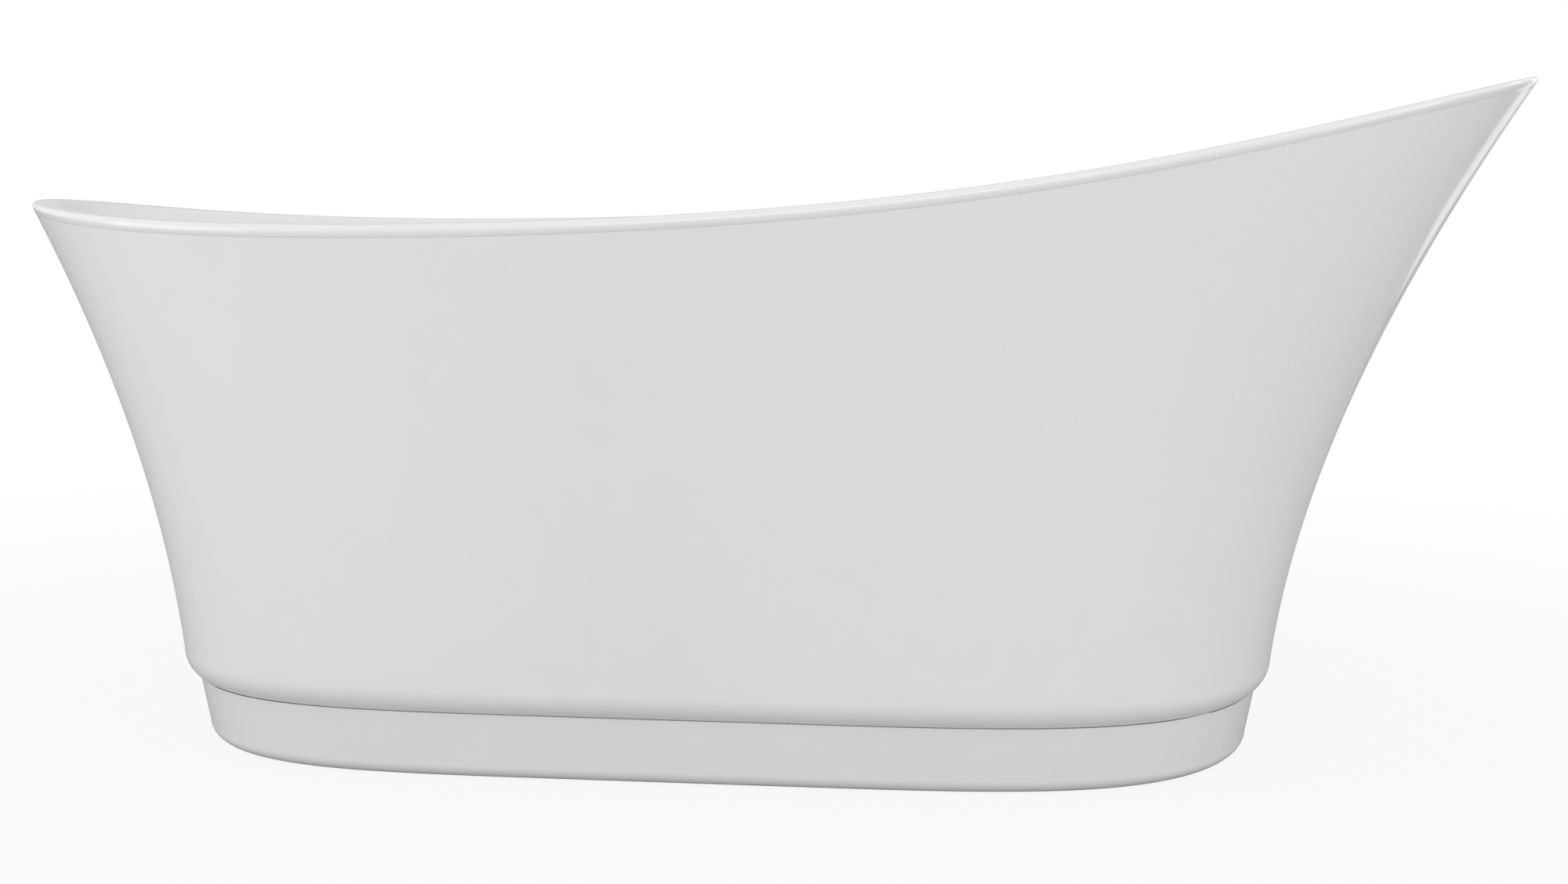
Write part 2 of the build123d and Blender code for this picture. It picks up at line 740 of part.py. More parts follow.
def build():
    inner = wall_skins(ACRYLIC)
    under = skin(basin_rings(ACRYLIC))
    save("outer_skirt", make_outer_skirt(wall_skins(0.0), inner))
    save("skirt_backing", make_skirt_backing(inner))
    save("plinth", make_plinth())
    save("inner_basin", make_inner_basin(under))
    save("basin_backing", make_basin_backing(under))
    save("rim_bond", make_rim_bond())
    save("base_board", make_base_board())
    save("board_screws", make_board_screws())
    save("frame_rail_left", make_rail(1))
    save("frame_rail_right", make_rail(-1))
    for name in CROSSBARS:
        save(f"frame_crossbar_{name}", make_crossbar(name))
    save("tube_end_caps", make_tube_end_caps())
    save("frame_cleats", make_cleats())
    save("frame_screws", make_frame_screws())
    save("skirt_bracket_foot", make_end_bracket(-1, FOOT_FACE, CROSSBARS["foot"][0]))
    save("skirt_bracket_head", make_end_bracket(1, HEAD_FACE, CROSSBARS["head"][0]))
    save("skirt_bracket_left", make_side_bracket(1))
    save("skirt_bracket_right", make_side_bracket(-1))
    for name in ("foot", "head", "left", "right"):
        save(f"skirt_block_{name}", make_skirt_block(name))
    save("bracket_bolts", make_bracket_bolts())
    save("block_screws", make_block_screws())
    save("foot_weld_nuts", make_nuts(CROSSBAR_Z + 2, CROSSBAR_Z + 10))
    save("foot_lock_nuts", make_nuts(CROSSBAR_Z - 8, CROSSBAR_Z))
    stud, pad = make_stud(), make_pad()
    for number, (x, y) in enumerate(FEET, 1):
        save(f"foot_stud_{number}", Pos(x, y, 0) * stud)
        save(f"foot_pad_{number}", Pos(x, y, 0) * pad)
    save("drain_flange", make_drain_flange())
    save("drain_seal_upper", at_drain(ring(34, 23.2, 119, 120.2)))
    save("drain_seal_lower", at_drain(ring(32, 23.2, 108, 112)))
    save("waste_body", make_waste_body())
    save("tailpiece", make_tailpiece())
    save("tailpiece_nut", make_tailpiece_nut())
    save("tailpiece_washer", at_drain(turned([(19.1, 42), (23.9, 42), (23.9, 44), (22.4, 46), (19.1, 46)])))
    save("plug_cap", make_plug_cap())
    save("plug_seal", make_plug_seal())
    save("plug_sleeve", make_plug_sleeve())
    save("plug_spindle", make_plug_spindle())
    save("plug_spring", make_plug_spring())
    save("overflow_cover", make_overflow_cover())
    save("overflow_plate", make_overflow_plate())
    save("overflow_seal", make_overflow_seal())
    save("overflow_elbow", make_overflow_elbow())
    save("overflow_screw", make_overflow_screw())
    save("overflow_hose", make_overflow_hose())
    save("hose_clips", make_hose_clips())


build()
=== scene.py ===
import json
from math import comb, copysign, cos, hypot, pi, radians, sin, sqrt

import bmesh
import bpy
from mathutils import Matrix, Vector


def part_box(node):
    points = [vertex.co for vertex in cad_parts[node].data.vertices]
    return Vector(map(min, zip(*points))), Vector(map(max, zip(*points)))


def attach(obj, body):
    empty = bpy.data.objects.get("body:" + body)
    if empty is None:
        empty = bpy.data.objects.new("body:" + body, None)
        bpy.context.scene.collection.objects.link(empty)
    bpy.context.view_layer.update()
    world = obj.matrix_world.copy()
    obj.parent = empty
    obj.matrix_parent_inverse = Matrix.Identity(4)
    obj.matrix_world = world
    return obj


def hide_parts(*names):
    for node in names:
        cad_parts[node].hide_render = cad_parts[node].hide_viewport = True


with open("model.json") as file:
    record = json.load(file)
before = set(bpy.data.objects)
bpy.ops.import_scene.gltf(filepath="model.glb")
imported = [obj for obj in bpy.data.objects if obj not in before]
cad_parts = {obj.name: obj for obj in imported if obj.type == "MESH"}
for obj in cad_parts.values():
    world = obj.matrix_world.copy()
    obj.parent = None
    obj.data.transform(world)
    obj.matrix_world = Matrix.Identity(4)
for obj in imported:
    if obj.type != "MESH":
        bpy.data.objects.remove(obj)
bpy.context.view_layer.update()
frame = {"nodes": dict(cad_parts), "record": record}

# The tub's driving dimensions, in metres, as in the CAD model.
HALF_LENGTH = 0.854
HALF_WIDTH = 0.401
RIM_FULLNESS = (2.63, 3.11)
RIM_HEIGHTS = (0.603, 0.549, 0.609, 0.553, 0.678, 0.752)
RIM_LAND = 0.032
LIP_DEPTH = 0.014
RIM_ROLL = 0.009
EASE = 0.007
EASE_U = 0.993
SEAM = 0.0003
BASE = (-0.040, 0.624, 0.345, 5.8, 4.8)
WALL_START = 0.102
EDGE_RADIUS = 0.032
BACK_BULGE = (0.095, 0.476)
FOOT_BULGE = (0.133, 0.487)
SIDE_BULGE = (0.193, 0.499)
PLINTH_STEP = 0.016
PLINTH_DRAFT = 0.0095
PLINTH_TUCK = 0.016
FLOOR_GAP = 0.002
ACRYLIC = 0.004
SKIRT_LINER = 0.002
BASIN_LINER = 0.003
FLOOR_Z = 0.122
BASIN_FLOOR = (-0.035, 0.465, 0.225, 2.9, 2.7)
BASIN_FLARE = ((0.0, 0.0), (0.2, 0.0), (0.3, 0.5), (1.0, 1.0))
DRAIN_X = -0.400
DRAIN_HOLE = 0.023
DISH_DEPTH = 0.003
OVERFLOW_U = 0.81
LINER_FACE = 0.0072
OUTLET = LINER_FACE + 0.0195
HOSE_BENDS = ((-0.674, 0.0, 0.325), (-0.634, 0.0, 0.215), (-0.606, 0.0, 0.088))
HOSE_RADIUS = 0.0153
HOSE_RIB = 0.0009
HOSE_BORE = 0.0142
CUFF_RADIUS = 0.0162
THREAD_PITCH = 0.00175
THREAD_RADIUS = 0.006
THREAD_DEPTH = 0.00095

# Fine edges of the formed sheets
LIP_CHAMFER = 0.00015
LIP_CORNER = 0.0006
BOND_GAP = 0.0001

AROUND = 320


# ---- camera, floor and light -----------------------------------------------------


def make_camera():
    yaw, pitch, roll = -0.0934, 0.109, 0.0095
    ahead = Vector((sin(yaw) * cos(pitch), cos(yaw) * cos(pitch), -sin(pitch)))
    right = Vector((cos(yaw), -sin(yaw), 0.0))
    up = right.cross(ahead)
    side = right * cos(roll) + up * sin(roll)
    top = up * cos(roll) - right * sin(roll)
    data = bpy.data.cameras.new("camera")
    data.sensor_fit = "HORIZONTAL"
    data.sensor_width = 36.0
    data.lens = 50.92
    data.clip_end = 60.0
    camera = bpy.data.objects.new("camera", data)
    axes = Matrix((side, top, -ahead)).transposed().to_4x4()
    camera.matrix_world = Matrix.Translation((0.2626, -2.55, 0.6093)) @ axes
    bpy.context.scene.collection.objects.link(camera)
    bpy.context.scene.camera = camera


def make_area_light(name, place, aim, size, power):
    data = bpy.data.lights.new(name, "AREA")
    data.shape = "RECTANGLE"
    data.size, data.size_y = size
    data.energy = power
    light = bpy.data.objects.new(name, data)
    light.location = place
    light.rotation_mode = "QUATERNION"
    light.rotation_quaternion = (Vector(aim) - Vector(place)).to_track_quat("-Z", "Y")
    bpy.context.scene.collection.objects.link(light)


def make_world():
    """Pale studio: white where the camera looks, even light with darker far sides."""
    world = bpy.data.worlds.new("studio")
    bpy.context.scene.world = world
    world.use_nodes = True
    tree = world.node_tree
    tree.nodes.clear()
    where = tree.nodes.new("ShaderNodeTexCoord")
    parts = tree.nodes.new("ShaderNodeSeparateXYZ")
    tree.links.new(where.outputs["Generated"], parts.inputs[0])
    behind = map_range(tree, parts.outputs["Y"], 0.5, 0.98, 1.04, 0.6)
    sideways = map_range(tree, parts.outputs["X"], -0.95, 0.95, 1.07, 0.93)
    overhead = map_range(tree, parts.outputs["Z"], 0.1, 0.8, 0.98, 0.74)
    level = maths(tree, "MULTIPLY", maths(tree, "MULTIPLY", behind, sideways), overhead)
    lit = tree.nodes.new("ShaderNodeBackground")
    tree.links.new(level, lit.inputs["Strength"])
    seen = tree.nodes.new("ShaderNodeBackground")
    seen.inputs["Strength"].default_value = 1.0
    for light in (lit, seen):
        light.inputs["Color"].default_value = (1.0, 1.0, 1.0, 1.0)
    ray = tree.nodes.new("ShaderNodeLightPath")
    mix = tree.nodes.new("ShaderNodeMixShader")
    tree.links.new(ray.outputs["Is Camera Ray"], mix.inputs[0])
    tree.links.new(lit.outputs[0], mix.inputs[1])
    tree.links.new(seen.outputs[0], mix.inputs[2])
    out = tree.nodes.new("ShaderNodeOutputWorld")
    tree.links.new(mix.outputs[0], out.inputs["Surface"])


def make_floor():
    """Pale studio floor that runs out to white, with a faint shadow under the tub."""
    corners = [(-14, -9, 0), (14, -9, 0), (14, 22, 0), (-14, 22, 0)]
    mesh = bpy.data.meshes.new("studio_floor")
    mesh.from_pydata(corners, [], [(0, 1, 2, 3)])
    floor = bpy.data.objects.new("studio_floor", mesh)
    bpy.context.scene.collection.objects.link(floor)
    material = bpy.data.materials.new("studio_floor")
    material.use_nodes = True
    tree = material.node_tree
    tree.nodes.clear()
    matt = tree.nodes.new("ShaderNodeBsdfDiffuse")
    matt.inputs["Color"].default_value = (0.5, 0.5, 0.5, 1.0)
    glow = tree.nodes.new("ShaderNodeEmission")
    glow.inputs["Strength"].default_value = 1.0
    where = tree.nodes.new("ShaderNodeVectorMath")
    where.operation = "LENGTH"
    tree.links.new(place(tree), where.inputs[0])
    white = map_range(tree, where.outputs["Value"], 0.9, 2.6, 0.90, 1.0)
    ray = tree.nodes.new("ShaderNodeLightPath")
    share = maths(tree, "MULTIPLY", ray.outputs["Is Camera Ray"], white)
    mix = tree.nodes.new("ShaderNodeMixShader")
    tree.links.new(share, mix.inputs[0])
    tree.links.new(matt.outputs[0], mix.inputs[1])
    tree.links.new(glow.outputs[0], mix.inputs[2])
    out = tree.nodes.new("ShaderNodeOutputMaterial")
    tree.links.new(mix.outputs[0], out.inputs["Surface"])
    mesh.materials.append(material)


# ---- node helpers ----------------------------------------------------------------


def maths(tree, operation, a, b):
    node = tree.nodes.new("ShaderNodeMath")
    node.operation = operation
    for socket, value in zip(node.inputs, (a, b)):
        if isinstance(value, (int, float)):
            socket.default_value = value
        else:
            tree.links.new(value, socket)
    return node.outputs[0]


def map_range(tree, value, from_low, from_high, to_low, to_high):
    node = tree.nodes.new("ShaderNodeMapRange")
    tree.links.new(value, node.inputs["Value"])
    node.inputs["From Min"].default_value = from_low
    node.inputs["From Max"].default_value = from_high
    node.inputs["To Min"].default_value = to_low
    node.inputs["To Max"].default_value = to_high
    return node.outputs[0]


def place(tree, stretch=(1.0, 1.0, 1.0)):
    """Position on the object in metres, stretched along its axes."""
    where = tree.nodes.new("ShaderNodeTexCoord")
    mapping = tree.nodes.new("ShaderNodeMapping")
    mapping.inputs["Scale"].default_value = stretch
    tree.links.new(where.outputs["Object"], mapping.inputs["Vector"])
    return mapping.outputs[0]


def noise(tree, scale, detail=3.0, stretch=(1.0, 1.0, 1.0)):
    node = tree.nodes.new("ShaderNodeTexNoise")
    node.inputs["Scale"].default_value = scale
    node.inputs["Detail"].default_value = detail
    tree.links.new(place(tree, stretch), node.inputs["Vector"])
    return node.outputs["Fac"]


def cells(tree, scale, feature="F1", stretch=(1.0, 1.0, 1.0)):
    node = tree.nodes.new("ShaderNodeTexVoronoi")
    node.feature = feature
    node.inputs["Scale"].default_value = scale
    tree.links.new(place(tree, stretch), node.inputs["Vector"])
    return node


def ramp(tree, value, *stops):
    node = tree.nodes.new("ShaderNodeValToRGB")
    points = node.color_ramp.elements
    while len(points) < len(stops):
        points.new(0.5)
    for point, (at, color) in zip(points, stops):
        point.position = at
        point.color = (*color, 1.0)
    tree.links.new(value, node.inputs[0])
    return node.outputs["Color"]


def mix_colors(tree, share, a, b, blend="MIX"):
    node = tree.nodes.new("ShaderNodeMix")
    node.data_type = "RGBA"
    node.blend_type = blend
    for socket, value in zip((node.inputs[0], node.inputs[6], node.inputs[7]), (share, a, b)):
        if isinstance(value, float):
            socket.default_value = value
        elif isinstance(value, tuple):
            socket.default_value = (*value, 1.0)
        else:
            tree.links.new(value, socket)
    return node.outputs[2]


def start(name, **constants):
    """A principled material with its constant sockets set."""
    material = bpy.data.materials.new(name)
    material.use_nodes = True
    tree = material.node_tree
    shader = tree.nodes["Principled BSDF"]
    for socket, value in constants.items():
        shader.inputs[socket.replace("_", " ")].default_value = value
    return material, tree, shader


def raise_surface(tree, shader, *layers):
    """Chained bumps, each a height, its strength and its depth in metres."""
    before = None
    for height, strength, depth in layers:
        node = tree.nodes.new("ShaderNodeBump")
        node.inputs["Strength"].default_value = strength
        node.inputs["Distance"].default_value = depth
        tree.links.new(height, node.inputs["Height"])
        if before is not None:
            tree.links.new(before, node.inputs["Normal"])
        before = node.outputs[0]
    tree.links.new(before, shader.inputs["Normal"])


# ---- materials -------------------------------------------------------------------


def make_acrylic():
    """Glossy white sanitary acrylic: faint mottling, orange peel, hairline scratches."""
    material, tree, shader = start("acrylic", Coat_Weight=0.35, Coat_Roughness=0.04, IOR=1.49)
    mottle = noise(tree, 2.3, 4.0)
    cloud = noise(tree, 26.0, 5.0)
    broad = maths(tree, "MULTIPLY", mottle, 0.7)
    fine = maths(tree, "MULTIPLY", cloud, 0.3)
    blend = maths(tree, "ADD", broad, fine)
    color = ramp(tree, blend, (0.25, (0.795, 0.797, 0.797)), (0.75, (0.835, 0.835, 0.832)))
    tree.links.new(color, shader.inputs["Base Color"])
    haze = map_range(tree, cloud, 0.3, 0.7, 0.13, 0.22)
    hair = noise(tree, 1.0, 2.0, (900.0, 55.0, 55.0))
    marks = map_range(tree, hair, 0.66, 0.72, 0.0, 0.09)
    tree.links.new(maths(tree, "ADD", haze, marks), shader.inputs["Roughness"])
    wave = noise(tree, 7.0, 1.0)
    peel = noise(tree, 420.0, 2.0)
    raise_surface(tree, shader, (wave, 0.25, 0.0012), (peel, 0.1, 0.00002))
    return material


def make_glass_fibre():
    """Chopped-strand laminate: pale resin over a random mat of short fibres."""
    material, tree, shader = start("glass_fibre", Specular_IOR_Level=0.45)
    strands = cells(tree, 190.0, "DISTANCE_TO_EDGE", (1.0, 0.35, 1.0))
    other = cells(tree, 160.0, "DISTANCE_TO_EDGE", (0.3, 1.0, 0.8))
    lines = maths(tree, "MINIMUM", strands.outputs["Distance"], other.outputs["Distance"])
    fibre = map_range(tree, lines, 0.0, 0.12, 1.0, 0.0)
    pool = noise(tree, 9.0, 5.0)
    resin = ramp(tree, pool, (0.3, (0.50, 0.45, 0.31)), (0.7, (0.66, 0.62, 0.49)))
    color = mix_colors(tree, maths(tree, "MULTIPLY", fibre, 0.45), resin, (0.80, 0.78, 0.70))
    tree.links.new(color, shader.inputs["Base Color"])
    tree.links.new(map_range(tree, pool, 0.3, 0.7, 0.32, 0.6), shader.inputs["Roughness"])
    raise_surface(tree, shader, (pool, 0.6, 0.004), (fibre, 0.5, 0.0006))
    return material


def make_chrome():
    """Polished chrome plate with wiping smears and dried water spots."""
    material, tree, shader = start("chrome", Metallic=1.0)
    smear = noise(tree, 30.0, 5.0, (1.0, 3.0, 1.0))
    spots = cells(tree, 260.0).outputs["Distance"]
    dried = map_range(tree, spots, 0.12, 0.2, 0.14, 0.0)
    tint = ramp(tree, smear, (0.3, (0.78, 0.79, 0.80)), (0.7, (0.86, 0.87, 0.88)))
    tree.links.new(tint, shader.inputs["Base Color"])
    film = map_range(tree, smear, 0.35, 0.75, 0.03, 0.13)
    tree.links.new(maths(tree, "ADD", film, dried), shader.inputs["Roughness"])
    raise_surface(tree, shader, (smear, 0.08, 0.0001))
    return material


def make_galvanised():
    """Hot-dip galvanised tube: spangle and a dull bloom."""
    material, tree, shader = start("galvanised", Metallic=1.0)
    spangle = cells(tree, 75.0).outputs["Color"]
    grey = ramp(tree, spangle, (0.1, (0.42, 0.44, 0.46)), (0.9, (0.66, 0.68, 0.70)))
    bloom = noise(tree, 14.0, 6.0)
    color = mix_colors(tree, map_range(tree, bloom, 0.5, 0.75, 0.0, 0.6), grey, (0.70, 0.71, 0.70))
    tree.links.new(color, shader.inputs["Base Color"])
    tree.links.new(map_range(tree, bloom, 0.3, 0.7, 0.30, 0.55), shader.inputs["Roughness"])
    grain = noise(tree, 900.0, 2.0)
    raise_surface(tree, shader, (bloom, 0.2, 0.0004), (grain, 0.25, 0.00008))
    return material


def make_zinc():
    """Bright zinc plate on fasteners, with yellow-blue passivation."""
    material, tree, shader = start("zinc", Metallic=1.0)
    film = noise(tree, 120.0, 4.0)
    stops = ((0.25, (0.62, 0.64, 0.68)), (0.5, (0.74, 0.73, 0.70)), (0.75, (0.70, 0.66, 0.55)))
    tree.links.new(ramp(tree, film, *stops), shader.inputs["Base Color"])
    tree.links.new(map_range(tree, film, 0.3, 0.7, 0.2, 0.38), shader.inputs["Roughness"])
    raise_surface(tree, shader, (noise(tree, 1500.0, 2.0), 0.2, 0.00004))
    return material


def make_plywood():
    """Birch ply: long grain and pores on the faces, stacked veneers on the edges."""
    material, tree, shader = start("plywood")
    grain = noise(tree, 5.0, 8.0, (1.0, 14.0, 14.0))
    pores = noise(tree, 60.0, 3.0, (1.0, 22.0, 22.0))
    stops = ((0.3, (0.50, 0.33, 0.18)), (0.5, (0.64, 0.46, 0.27)), (0.7, (0.72, 0.55, 0.36)))
    dark = (0.33, 0.20, 0.10)
    open_pores = map_range(tree, pores, 0.6, 0.7, 0.0, 0.45)
    face = mix_colors(tree, open_pores, ramp(tree, grain, *stops), dark)
    where = tree.nodes.new("ShaderNodeSeparateXYZ")
    tree.links.new(place(tree), where.inputs[0])
    veneer = maths(tree, "PINGPONG", where.outputs["Z"], 0.0015)
    layers = maths(tree, "MULTIPLY", veneer, 660.0)
    edge = ramp(tree, layers, (0.35, dark), (0.65, (0.70, 0.53, 0.34)))
    normal = tree.nodes.new("ShaderNodeNewGeometry")
    facing = tree.nodes.new("ShaderNodeSeparateXYZ")
    tree.links.new(normal.outputs["True Normal"], facing.inputs[0])
    flat = maths(tree, "GREATER_THAN", maths(tree, "ABSOLUTE", facing.outputs["Z"], 0.0), 0.6)
    tree.links.new(mix_colors(tree, flat, edge, face), shader.inputs["Base Color"])
    tree.links.new(map_range(tree, grain, 0.3, 0.7, 0.55, 0.75), shader.inputs["Roughness"])
    raise_surface(tree, shader, (grain, 0.3, 0.0005), (pores, 0.3, 0.0002))
    return material


def make_moulded(name, low, high, roughness, grain_scale=1400.0):
    """Moulded plastic or rubber: fine spark-eroded grain and scuffed sheen."""
    material, tree, shader = start(name)
    scuff = noise(tree, 40.0, 6.0)
    tree.links.new(ramp(tree, scuff, (0.3, low), (0.7, high)), shader.inputs["Base Color"])
    rough = map_range(tree, scuff, 0.3, 0.7, roughness - 0.08, roughness + 0.1)
    tree.links.new(rough, shader.inputs["Roughness"])
    raise_surface(tree, shader, (scuff, 0.1, 0.0003), (noise(tree, grain_scale, 2.0), 0.3, 0.00006))
    return material


def make_brass(name, low, high):
    """Turned metal: fine tool rings across the axis and a thin tarnish."""
    material, tree, shader = start(name, Metallic=1.0)
    tarnish = noise(tree, 90.0, 5.0)
    tree.links.new(ramp(tree, tarnish, (0.3, low), (0.7, high)), shader.inputs["Base Color"])
    tree.links.new(map_range(tree, tarnish, 0.3, 0.7, 0.2, 0.42), shader.inputs["Roughness"])
    rings = noise(tree, 300.0, 2.0, (0.05, 0.05, 12.0))
    raise_surface(tree, shader, (rings, 0.25, 0.00005))
    return material


# ---- surfaces --------------------------------------------------------------------


def rim_height(x):
    t = (x + HALF_LENGTH) / (2 * HALF_LENGTH)
    n = len(RIM_HEIGHTS) - 1
    return sum(comb(n, i) * h * t**i * (1 - t) ** (n - i) for i, h in enumerate(RIM_HEIGHTS))


def plan_point(centre, half_length, half_width, foot, back, angle):
    across = cos(angle)
    power = back if across >= 0 else foot
    reach = half_width * sqrt(max(0.0, 1 - abs(across) ** power))
    return centre + half_length * across, copysign(reach, sin(angle))


def angles():
    """Angles round the plan, closer together at the tight ends."""
    even = [2 * pi * i / AROUND for i in range(AROUND)]
    return [a - 0.16 * sin(2 * a) for a in even]


def bulge(pair, s):
    return 3 * s * (1 - s) ** 2 * pair[0] + 3 * s * s * (1 - s) * pair[1] + s**3


def base_point(inset, angle):
    centre, length, width, foot, back = BASE
    return plan_point(centre, length - inset, width - inset, foot, back, angle)


def rim_point(inset, angle):
    return plan_point(0.0, HALF_LENGTH - inset, HALF_WIDTH - inset, *RIM_FULLNESS, angle)


def wall_point(inset, angle, s):
    base = base_point(inset, angle)
    rim = rim_point(inset, angle)
    height = rim_height(rim[0]) - WALL_START
    backward = (1 + cos(angle)) / 2
    along = bulge(BACK_BULGE, s) * backward + bulge(FOOT_BULGE, s) * (1 - backward)
    across = bulge(SIDE_BULGE, s)
    x = base[0] + (rim[0] - base[0]) * along
    y = base[1] + (rim[1] - base[1]) * across
    return x, y, WALL_START + height * s


def level_ring(inset, z):
    return [(*base_point(inset, a), z) for a in angles()]


def wall_ring(inset, s):
    return [wall_point(inset, a, s) for a in angles()]


def lip_ring(inset, drop):
    ring = []
    for angle in angles():
        height = rim_height(rim_point(inset, angle)[0]) - WALL_START
        ring.append(wall_point(inset, angle, 1 - drop / height))
    return ring


def basin_point(offset, angle, u):
    centre, length, width, foot, back = BASIN_FLOOR
    x0, y0 = plan_point(centre, length + offset, width + offset, foot, back, angle)
    x1, y1 = rim_point(RIM_LAND - offset, angle)
    z0 = FLOOR_Z - offset
    z1 = rim_height(x1)
    blend = [(1 - u) ** 3, 3 * u * (1 - u) ** 2, 3 * u * u * (1 - u), u**3]
    out = sum(w * p[0] for w, p in zip(blend, BASIN_FLARE))
    up = sum(w * p[1] for w, p in zip(blend, BASIN_FLARE))
    return x0 + (x1 - x0) * out, y0 + (y1 - y0) * out, z0 + (z1 - z0) * up


def basin_ring(offset, u):
    return [basin_point(offset, a, u) for a in angles()]


def eased_ring(t):
    ring = []
    for angle in angles():
        x, y = rim_point(RIM_LAND - EASE, angle)
        land = Vector((x, y, rim_height(x)))
        corner = Vector(basin_point(0.0, angle, 1.0))
        wall = Vector(basin_point(0.0, angle, EASE_U))
        ring.append(tuple(land * (1 - t) ** 2 + corner * 2 * t * (1 - t) + wall * t**2))
    return ring


def dish_height(x, y, offset):
    """Height of the basin's floor, which falls in a shallow dish to the drain."""
    away = hypot(x - DRAIN_X, y)
    share = min(1.0, max(0.0, (away - 0.036) / 0.054))
    return FLOOR_Z - offset - DISH_DEPTH * (1 - share)


def floor_ring(offset, share):
    """Ring of the floor between the drain hole at 0 and the floor's edge at 1."""
    ring = []
    for angle, (ex, ey, _) in zip(angles(), basin_ring(offset, 0.0)):
        x = (DRAIN_X + DRAIN_HOLE * cos(angle)) * (1 - share) + ex * share
        y = DRAIN_HOLE * sin(angle) * (1 - share) + ey * share
        ring.append((x, y, dish_height(x, y, offset)))
    return ring


def overflow_axes():
    """Middle of the overflow on the basin wall, the way down the wall, the way out."""
    here = Vector(basin_point(0.0, pi, OVERFLOW_U))
    down = (Vector(basin_point(0.0, pi, OVERFLOW_U - 0.01)) - here).normalized()
    out = down.cross(Vector((0, 1, 0))).normalized()
    return here, down, out if out.x < 0 else -out


def flatten_at_overflow(ring, depth):
    """Draws the wall flat round the overflow, fading into the curve of the wall."""
    here, _, out = overflow_axes()
    flat = []
    for point in ring:
        away = Vector(point) - here
        off = away.dot(out)
        radius = (away - out * off).length
        pull = min(1.0, max(0.0, (0.056 - radius) / 0.017)) if abs(off) < 0.03 else 0.0
        pull = pull * pull * (3 - 2 * pull)
        flat.append(tuple(Vector(point) + out * (depth - off) * pull))
    return flat


# ---- mesh making -----------------------------------------------------------------


def add_mesh(name, points, faces, material, sharp=38.0):
    mesh = bpy.data.meshes.new(name)
    mesh.from_pydata(points, [], faces)
    skin = bmesh.new()
    skin.from_mesh(mesh)
    bmesh.ops.recalc_face_normals(skin, faces=skin.faces)
    skin.to_mesh(mesh)
    skin.free()
    mesh.shade_smooth()
    mesh.set_sharp_from_angle(angle=radians(sharp))
    mesh.materials.append(material)
    piece = bpy.data.objects.new(name, mesh)
    bpy.context.scene.collection.objects.link(piece)
    return piece


def looped(name, rings, material, sharp=38.0):
    """Closed shell through rings of equal count, the last joined to the first."""
    count, size = len(rings), len(rings[0])
    points = [p for ring in rings for p in ring]
    faces = []
    for i in range(count):
        for j in range(size):
            k = (j + 1) % size
            n = (i + 1) % count
            faces.append((i * size + j, i * size + k, n * size + k, n * size + j))
    return add_mesh(name, points, faces, material, sharp)


def capped(name, rings, material, sharp=38.0):
    """Closed solid through rings of equal count, with a flat cap at each end."""
    count, size = len(rings), len(rings[0])
    points = [p for ring in rings for p in ring]
    faces = [tuple(range(size))[::-1], tuple(range((count - 1) * size, count * size))]
    for i in range(count - 1):
        for j in range(size):
            k = (j + 1) % size
            a, b = i * size, (i + 1) * size
            faces.append((a + j, a + k, b + k, b + j))
    return add_mesh(name, points, faces, material, sharp)


def spread(low, high, steps):
    return [low + (high - low) * i / steps for i in range(steps + 1)]


# ---- shells ----------------------------------------------------------------------


def make_basin(material):
    """Basin, rim and turned-down lip as one formed sheet."""
    near = (0.0, 0.006, 0.015, 0.03, 0.05, 0.08, 0.12, 0.2, 0.35, 0.55, 0.75, 0.9)
    top = [floor_ring(0.0, s) for s in near]
    wall = [flatten_at_overflow(basin_ring(0.0, u), 0.0008) for u in spread(0.0, 0.95, 60)]
    wall.append(basin_ring(0.0, 0.975))
    soft = [eased_ring(1 - t) for t in spread(0.0, 1.0, 6)]
    turns = spread(pi / 2, 0.0, 8)
    roll = [lip_ring(RIM_ROLL * (1 - cos(t)), RIM_ROLL * (1 - sin(t))) for t in turns]
    lip = [lip_ring(0.0, LIP_DEPTH - LIP_CHAMFER), lip_ring(LIP_CHAMFER, LIP_DEPTH)]
    lip += [lip_ring(ACRYLIC - LIP_CORNER, LIP_DEPTH), lip_ring(ACRYLIC, LIP_DEPTH - LIP_CORNER)]
    root = [lip_ring(ACRYLIC, ACRYLIC), basin_ring(ACRYLIC, 0.995)]
    under = [basin_ring(ACRYLIC, u) for u in spread(0.97, 0.0, 40)]
    under += [floor_ring(ACRYLIC, s) for s in reversed(near)]
    rings = top + wall + soft + roll + lip + root + under
    piece = looped("tub_basin", rings, material, 50.0)
    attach(piece, "tub")
    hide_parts("inner_basin")


def edge_rings(inset, steps):
    radius = EDGE_RADIUS - inset
    turns = [pi / 2 * step / steps for step in range(1, steps + 1)]
    return [level_ring(EDGE_RADIUS - radius * cos(t), WALL_START - radius * sin(t)) for t in turns]


def make_skirt(material):
    """Outer wall from under the lip to the rolled-in lower edge."""
    seam = LIP_DEPTH + SEAM / 6
    outer = [lip_ring(LIP_CHAMFER, seam), lip_ring(0.0, seam + LIP_CHAMFER)]
    outer += [wall_ring(0.0, s) for s in spread(0.96, 0.0, 64)] + edge_rings(0.0, 12)
    inner = edge_rings(ACRYLIC, 8)[::-1] + [wall_ring(ACRYLIC, s) for s in spread(0.0, 0.96, 24)]
    inner.append(lip_ring(ACRYLIC, seam))
    piece = looped("tub_skirt", outer + inner, material)
    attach(piece, "tub")
    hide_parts("outer_skirt")


